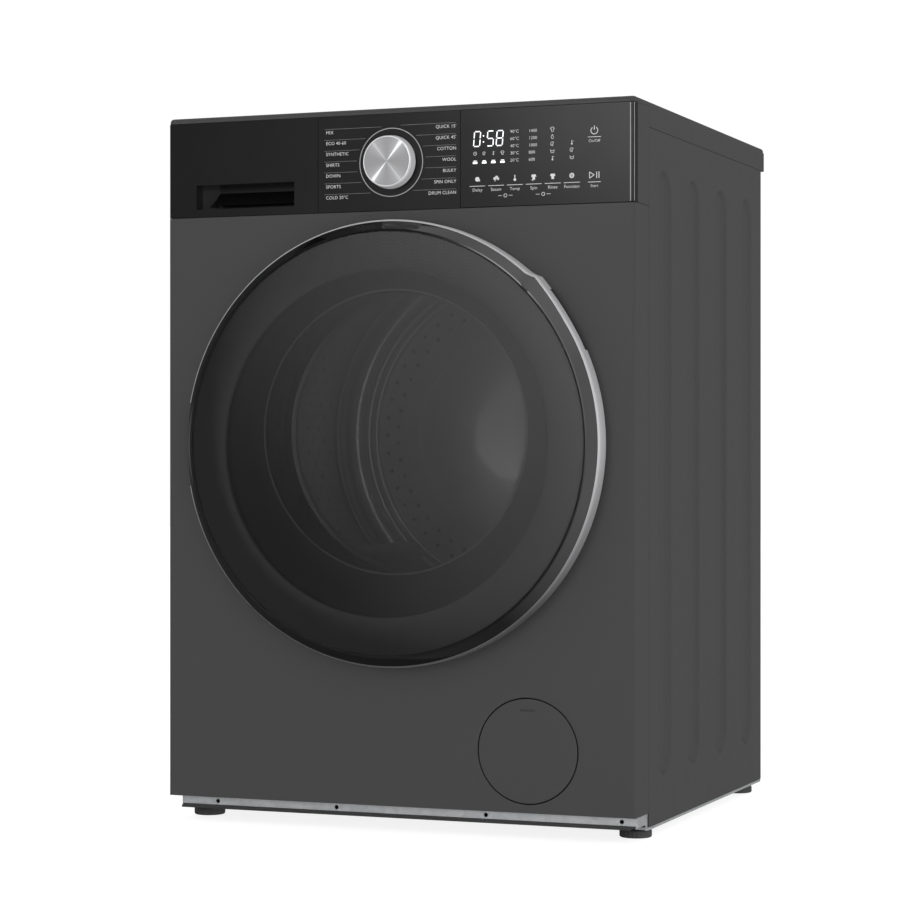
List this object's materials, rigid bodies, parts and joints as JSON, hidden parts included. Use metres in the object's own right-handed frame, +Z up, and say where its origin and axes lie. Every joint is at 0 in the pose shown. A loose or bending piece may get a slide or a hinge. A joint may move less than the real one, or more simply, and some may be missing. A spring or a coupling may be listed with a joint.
{
  "type": "front load washing machine",
  "caption": "Free-standing front load washing machine with a round glazed door, control panel, program dial and detergent drawer.",
  "frame": {"origin": "centre of the object's box in plan, on the floor that the feet stand on", "axes": "+Z up, the door faces -Y, +X to the right of someone facing the door"},
  "size_m": [0.595, 0.606, 0.853],
  "materials": {
    "graphite_paint": "satin",
    "zinc_steel": "satin",
    "black_plastic": "matte",
    "fascia_plastic": "gloss",
    "circuit_board": "satin",
    "grey_plastic": "matte",
    "gloss_black": "gloss",
    "tinted_cover": "gloss",
    "clear_glass": "gloss",
    "steel": "satin",
    "stainless": "brushed",
    "cast_aluminium": "cast",
    "brushed_aluminium": "brushed",
    "seal_rubber": "matte",
    "black_rubber": "matte",
    "concrete": "cast",
    "foot_rubber": "matte"
  },
  "bodies": {
    "cabinet": {"front_panel": "graphite_paint", "right_side_panel": "graphite_paint", "left_side_panel": "graphite_paint", "rear_panel": "zinc_steel", "top_plate": "graphite_paint", "base_frame": "zinc_steel", "base_pan": "black_plastic", "cross_beam": "zinc_steel", "control_housing": "graphite_paint", "dial_panel": "fascia_plastic", "display_panel": "fascia_plastic", "control_board": "circuit_board", "dispenser_housing": "grey_plastic", "door_lock": "black_plastic", "hinge_bracket": "steel", "door_seal": "seal_rubber", "drain_pump": "black_plastic", "inlet_valve": "grey_plastic", "drain_outlet": "grey_plastic", "cable_gland": "black_plastic", "sump_hose": "black_rubber", "dispenser_hose": "black_rubber", "spring_left": "steel", "spring_right": "steel", "damper_tube_left": "black_plastic", "damper_tube_right": "black_plastic"},
    "door": {"door_ring": "gloss_black", "door_cover": "tinted_cover", "door_funnel": "gloss_black", "door_inner_frame": "black_plastic", "door_glass": "clear_glass", "hinge_arm": "steel"},
    "latch": {"latch_hook": "steel"},
    "drawer": {"drawer_front": "fascia_plastic", "drawer_tray": "grey_plastic"},
    "dial": {"program_knob": "brushed_aluminium"},
    "hatch": {"filter_hatch": "graphite_paint"},
    "filter": {"filter_cap": "black_plastic"},
    "tub": {"tub_front": "grey_plastic", "tub_rear": "grey_plastic", "front_counterweight": "concrete", "top_counterweight": "concrete", "heater": "steel", "front_bearing": "steel", "rear_bearing": "steel", "motor_housing": "cast_aluminium", "drive_belt": "black_rubber", "damper_rod_left": "steel", "damper_rod_right": "steel"},
    "drum": {"drum_shell": "stainless", "drum_spider": "cast_aluminium", "drum_pulley": "cast_aluminium", "lifter_1": "grey_plastic", "lifter_2": "grey_plastic", "lifter_3": "grey_plastic"},
    "motor_rotor": {"motor_pulley": "cast_aluminium"},
    "foot_front_left": {"foot_front_left": "foot_rubber"},
    "foot_rear_left": {"foot_rear_left": "foot_rubber"},
    "foot_front_right": {"foot_front_right": "foot_rubber"},
    "foot_rear_right": {"foot_rear_right": "foot_rubber"}
  },
  "joints": [
    {"name": "door_hinge", "type": "hinge", "parent": "cabinet", "child": "door", "pos_m": [-0.252, -0.283, 0.457], "axis": [0, 0, -1], "range_deg": [0, 130]},
    {"name": "latch_pivot", "type": "hinge", "parent": "door", "child": "latch", "pos_m": [0.216, -0.26, 0.457], "axis": [0, 0, 1], "range_deg": [0, 8], "stiffness_Nm_per_rad": 0.5},
    {"name": "drawer_slide", "type": "slide", "parent": "cabinet", "child": "drawer", "axis": [0, -1, 0], "range_m": [0, 0.24]},
    {"name": "dial_turn", "type": "hinge", "parent": "cabinet", "child": "dial", "pos_m": [-0.004, -0.265, 0.7887], "axis": [0, 1, 0], "continuous": true},
    {"name": "hatch_hinge", "type": "hinge", "parent": "cabinet", "child": "hatch", "pos_m": [0.1669, -0.264, 0.0424], "axis": [1, 0, 0], "range_deg": [0, 65]},
    {"name": "filter_turn", "type": "hinge", "parent": "cabinet", "child": "filter", "pos_m": [0.1669, -0.25, 0.1016], "axis": [0, -1, 0], "range_deg": [0, 90]},
    {"name": "suspension", "type": "slide", "parent": "cabinet", "child": "tub", "axis": [0, 0, 1], "range_m": [-0.012, 0.012], "stiffness_N_per_m": 12000, "springref_m": 0.0262, "deforming": ["spring_left", "spring_right", "door_seal", "sump_hose", "dispenser_hose"]},
    {"name": "drum_spin", "type": "hinge", "parent": "tub", "child": "drum", "pos_m": [0, 0.035, 0.471], "axis": [0, 1, 0], "continuous": true},
    {"name": "motor_spin", "type": "hinge", "parent": "tub", "child": "motor_rotor", "pos_m": [0, 0.135, 0.118], "axis": [0, 1, 0], "continuous": true},
    {"name": "foot_front_left_turn", "type": "hinge", "parent": "cabinet", "child": "foot_front_left", "pos_m": [-0.276, -0.197, 0.02], "axis": [0, 0, 1], "continuous": true},
    {"name": "foot_rear_left_turn", "type": "hinge", "parent": "cabinet", "child": "foot_rear_left", "pos_m": [-0.276, 0.247, 0.02], "axis": [0, 0, 1], "continuous": true},
    {"name": "foot_front_right_turn", "type": "hinge", "parent": "cabinet", "child": "foot_front_right", "pos_m": [0.276, -0.197, 0.02], "axis": [0, 0, 1], "continuous": true},
    {"name": "foot_rear_right_turn", "type": "hinge", "parent": "cabinet", "child": "foot_rear_right", "pos_m": [0.276, 0.247, 0.02], "axis": [0, 0, 1], "continuous": true}
  ],
  "couplings": [
    {"joint": "motor_spin", "follows": "drum_spin", "ratio": 11.667}
  ]
}
